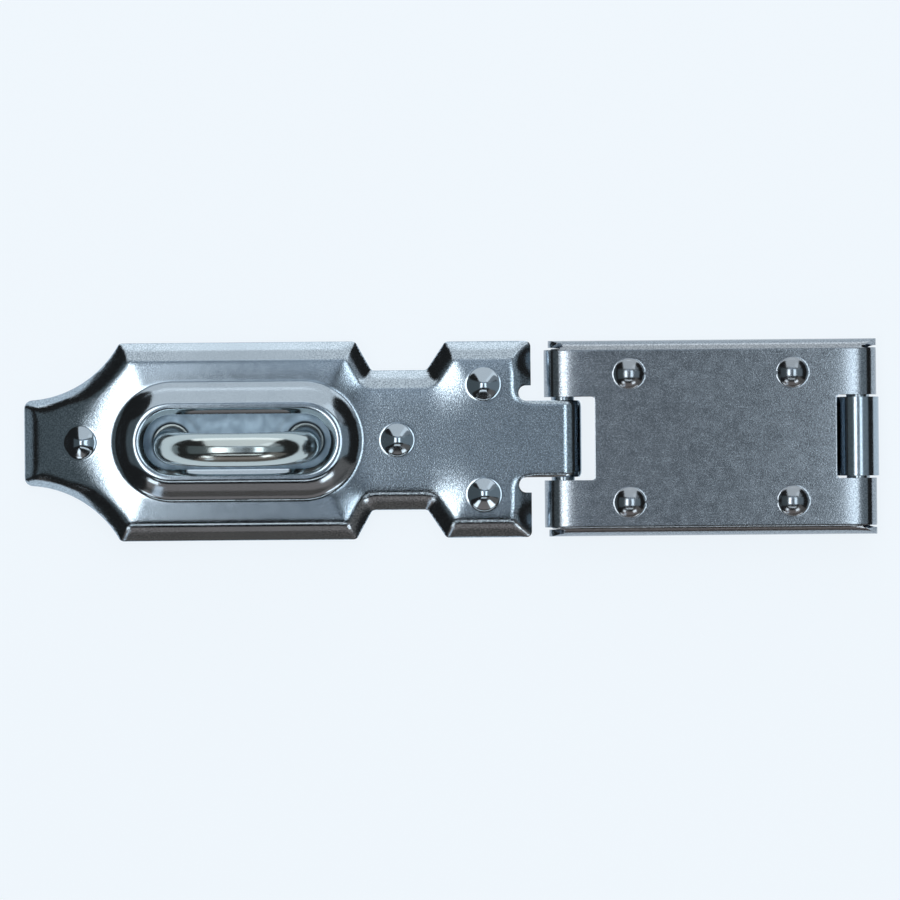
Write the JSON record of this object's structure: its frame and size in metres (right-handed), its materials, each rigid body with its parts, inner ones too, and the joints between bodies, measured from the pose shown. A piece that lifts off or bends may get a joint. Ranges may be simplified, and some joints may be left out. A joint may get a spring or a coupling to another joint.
{
  "type": "chest hasp",
  "caption": "Double-jointed pressed steel chest hasp: a slotted strap closes over a riveted staple, and a channel-shaped link plate joins it to a hidden screwed base plate.",
  "frame": {"origin": "centre of the base plate's four screw holes, on the mounting surface", "axes": "+Z out of the mounting surface, +X from the strap towards the base hinge, +Y across the hasp"},
  "size_m": [0.19, 0.044, 0.0289],
  "materials": {
    "zinc_strap": "bright blue-passivated zinc plate on pressed sheet",
    "zinc_link": "bright blue-passivated zinc plate with fine scuffs",
    "zinc_base": "blue-passivated zinc plate",
    "zinc_pin": "drawn steel, zinc plated",
    "bright_staple": "smooth bright zinc plate on a round bar"
  },
  "bodies": {
    "fixed_plates": {"base_plate": "zinc_base", "staple_plate": "zinc_base", "staple": "bright_staple"},
    "link": {"link_plate": "zinc_link", "strap_hinge_pin": "zinc_pin", "base_hinge_pin": "zinc_pin"},
    "strap": {"hasp_strap": "zinc_strap"}
  },
  "joints": [
    {"name": "base_hinge", "type": "hinge", "parent": "fixed_plates", "child": "link", "pos_m": [0.0328, 0, 0.00465], "axis": [0, 1, 0], "range_deg": [0, 174]},
    {"name": "strap_hinge", "type": "hinge", "parent": "link", "child": "strap", "pos_m": [-0.0328, 0, 0.00465], "axis": [0, 1, 0], "range_deg": [0, 110]}
  ]
}
